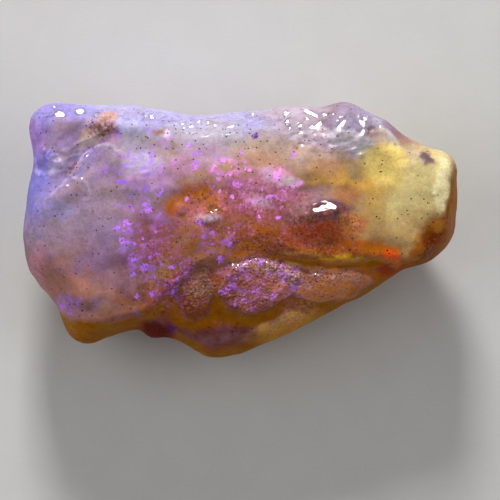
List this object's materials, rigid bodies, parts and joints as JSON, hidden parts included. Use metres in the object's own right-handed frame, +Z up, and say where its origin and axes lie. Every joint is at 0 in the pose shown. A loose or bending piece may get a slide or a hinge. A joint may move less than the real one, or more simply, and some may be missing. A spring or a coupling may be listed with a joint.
{
  "type": "rough fire opal",
  "caption": "Rough, uncut piece of milky fire opal with play of colour, lying on its flat broken underside as a mineral specimen.",
  "frame": {"origin": "on the ground below the middle of the stone's box, on its flat underside", "axes": "+X along the stone from its blue end to its cream end, +Y from its amber front edge to its pale back edge, +Z up out of its top face"},
  "size_m": [0.038, 0.0226, 0.013],
  "materials": {
    "opal": "gloss"
  },
  "bodies": {
    "root": {"opal": "opal"}
  },
  "joints": []
}
